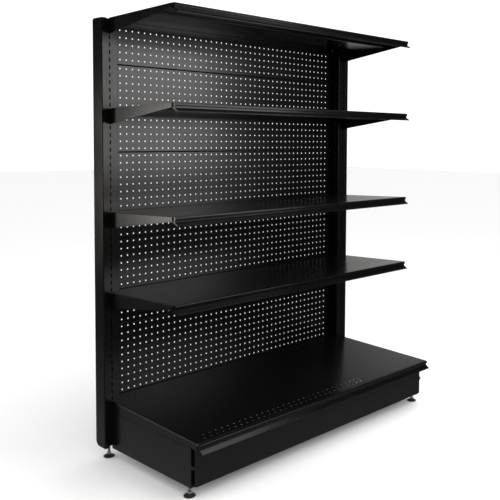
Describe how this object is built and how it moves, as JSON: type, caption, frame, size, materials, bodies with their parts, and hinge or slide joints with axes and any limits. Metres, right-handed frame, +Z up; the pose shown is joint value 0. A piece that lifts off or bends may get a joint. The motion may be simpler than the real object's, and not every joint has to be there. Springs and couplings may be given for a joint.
{
  "type": "gondola shelving unit",
  "caption": "Single-sided retail gondola bay: slotted uprights, perforated back, lift-off shelves on tapered brackets with ticket channels, base deck on levelling feet.",
  "frame": {"origin": "on the floor, in the middle of the overall width and depth", "axes": "+X along the shelves to the right as the shopper sees them, +Y towards the back panels, +Z up"},
  "size_m": [1.2688, 0.5546, 1.5338],
  "materials": {
    "powder_coat": "satin black powder coat on steel sheet",
    "channel_finish": "smoother semi-gloss black, on the ticket channels",
    "cap_plastic": "matt black moulded plastic",
    "foot_plastic": "hard black plastic, slightly worn on the rim",
    "zinc_steel": "bright zinc plated steel"
  },
  "bodies": {
    "frame": {"back_panel_1": "powder_coat", "back_panel_2": "powder_coat", "back_panel_3": "powder_coat", "back_panel_4": "powder_coat", "back_panel_5": "powder_coat", "base_bracket_left": "powder_coat", "base_bracket_right": "powder_coat", "bottom_rail": "powder_coat", "end_cover_left": "powder_coat", "end_cover_right": "powder_coat", "end_cover_screws": "zinc_steel", "front_foot_nut_left": "zinc_steel", "front_foot_nut_right": "zinc_steel", "kick_plate": "powder_coat", "rear_foot_plate_left": "powder_coat", "rear_foot_plate_right": "powder_coat", "top_rail": "powder_coat", "upright_cap_left": "cap_plastic", "upright_cap_right": "cap_plastic", "upright_left": "powder_coat", "upright_right": "powder_coat"},
    "deck": {"base_deck": "powder_coat", "base_deck_stiffener_front": "powder_coat", "base_deck_stiffener_rear": "powder_coat", "base_deck_ticket_channel": "channel_finish"},
    "foot_front_left": {"foot_pad_front_left": "foot_plastic", "foot_stem_front_left": "zinc_steel"},
    "foot_front_right": {"foot_pad_front_right": "foot_plastic", "foot_stem_front_right": "zinc_steel"},
    "foot_rear_left": {"foot_pad_rear_left": "foot_plastic", "foot_stem_rear_left": "zinc_steel"},
    "foot_rear_right": {"foot_pad_rear_right": "foot_plastic", "foot_stem_rear_right": "zinc_steel"},
    "shelf_1": {"shelf_1": "powder_coat", "shelf_1_bracket_left": "powder_coat", "shelf_1_bracket_right": "powder_coat", "shelf_1_stiffener": "powder_coat", "shelf_1_ticket_channel": "channel_finish"},
    "shelf_2": {"shelf_2": "powder_coat", "shelf_2_bracket_left": "powder_coat", "shelf_2_bracket_right": "powder_coat", "shelf_2_stiffener": "powder_coat", "shelf_2_ticket_channel": "channel_finish"},
    "shelf_3": {"shelf_3": "powder_coat", "shelf_3_bracket_left": "powder_coat", "shelf_3_bracket_right": "powder_coat", "shelf_3_stiffener": "powder_coat", "shelf_3_ticket_channel": "channel_finish"},
    "shelf_4": {"shelf_4": "powder_coat", "shelf_4_bracket_left": "powder_coat", "shelf_4_bracket_right": "powder_coat", "shelf_4_stiffener": "powder_coat", "shelf_4_ticket_channel": "channel_finish"}
  },
  "joints": [
    {"name": "lift_shelf_1", "type": "slide", "parent": "frame", "child": "shelf_1", "axis": [0, 0, 1], "range_m": [0, 0.0095]},
    {"name": "lift_shelf_2", "type": "slide", "parent": "frame", "child": "shelf_2", "axis": [0, 0, 1], "range_m": [0, 0.0095]},
    {"name": "lift_shelf_3", "type": "slide", "parent": "frame", "child": "shelf_3", "axis": [0, 0, 1], "range_m": [0, 0.0095]},
    {"name": "lift_shelf_4", "type": "slide", "parent": "frame", "child": "shelf_4", "axis": [0, 0, 1], "range_m": [0, 0.0095]},
    {"name": "lift_base_deck", "type": "slide", "parent": "frame", "child": "deck", "axis": [0, 0, 1], "range_m": [0, 0.12]},
    {"name": "level_front_left", "type": "slide", "parent": "frame", "child": "foot_front_left", "axis": [0, 0, -1], "range_m": [-0.012, 0.018]},
    {"name": "level_front_right", "type": "slide", "parent": "frame", "child": "foot_front_right", "axis": [0, 0, -1], "range_m": [-0.012, 0.018]},
    {"name": "level_rear_left", "type": "slide", "parent": "frame", "child": "foot_rear_left", "axis": [0, 0, -1], "range_m": [-0.012, 0.018]},
    {"name": "level_rear_right", "type": "slide", "parent": "frame", "child": "foot_rear_right", "axis": [0, 0, -1], "range_m": [-0.012, 0.018]}
  ]
}
